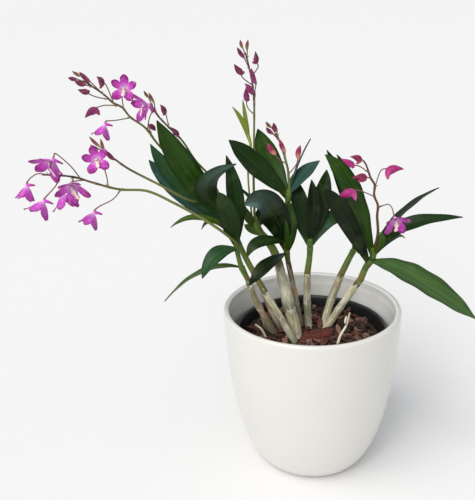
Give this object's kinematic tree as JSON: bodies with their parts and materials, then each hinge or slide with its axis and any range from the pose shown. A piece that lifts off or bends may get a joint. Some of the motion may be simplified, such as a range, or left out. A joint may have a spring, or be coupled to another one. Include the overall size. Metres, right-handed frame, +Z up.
{
  "type": "potted pink rock orchid",
  "caption": "Leafy orchid with pink flower spikes and pale ringed canes, growing in bark in a black nursery pot inside a white curved cachepot.",
  "frame": {"origin": "centre of the cachepot's flat foot, on the surface it stands on", "axes": "+Z up along the pot's axis, -Y towards the side the picture shows, +X to the right in it"},
  "size_m": [0.4143, 0.175, 0.4211],
  "materials": {
    "cachepot": "satin white glaze",
    "nursery_pot": "matt black plastic",
    "bark": "rough dry bark",
    "cane": "dry papery sheath",
    "cane_old": "dry papery sheath",
    "root": "matt, corky",
    "leaf": "waxy leaf",
    "young_leaf": "soft young leaf",
    "stalk": "satin green stalk",
    "petal": "soft sparkling petal",
    "lip": "soft petal"
  },
  "bodies": {
    "root": {"cachepot": "cachepot", "nursery_pot": "nursery_pot", "bark": "bark", "cane_a": "cane", "cane_b": "cane", "cane_c": "cane", "cane_d": "cane", "cane_e": "cane", "cane_f": "cane", "cane_g": "cane", "cane_old": "cane_old", "root_left": "root", "root_right": "root", "shoot_a": "leaf", "shoot_b": "leaf", "shoot_c": "leaf", "shoot_d": "leaf", "shoot_e": "leaf", "shoot_f": "leaf", "shoot_g": "leaf", "young_shoot": "young_leaf", "spike_a": "stalk", "spike_b_low": "stalk", "spike_b_mid": "stalk", "spike_b_high": "stalk", "spike_c": "stalk", "spike_d": "stalk", "spike_g": "stalk", "bloom_1": "petal", "bloom_2": "petal", "bloom_3": "petal", "bloom_4": "petal", "bloom_5": "petal", "bloom_6": "petal", "bloom_7": "petal", "bloom_8": "petal", "bloom_9": "petal", "bloom_10": "petal", "bloom_11": "petal", "lip_1": "lip", "lip_2": "lip", "lip_3": "lip", "lip_4": "lip", "lip_5": "lip", "lip_6": "lip", "lip_7": "lip", "lip_8": "lip", "lip_9": "lip", "lip_10": "lip", "lip_11": "lip"}
  },
  "joints": []
}
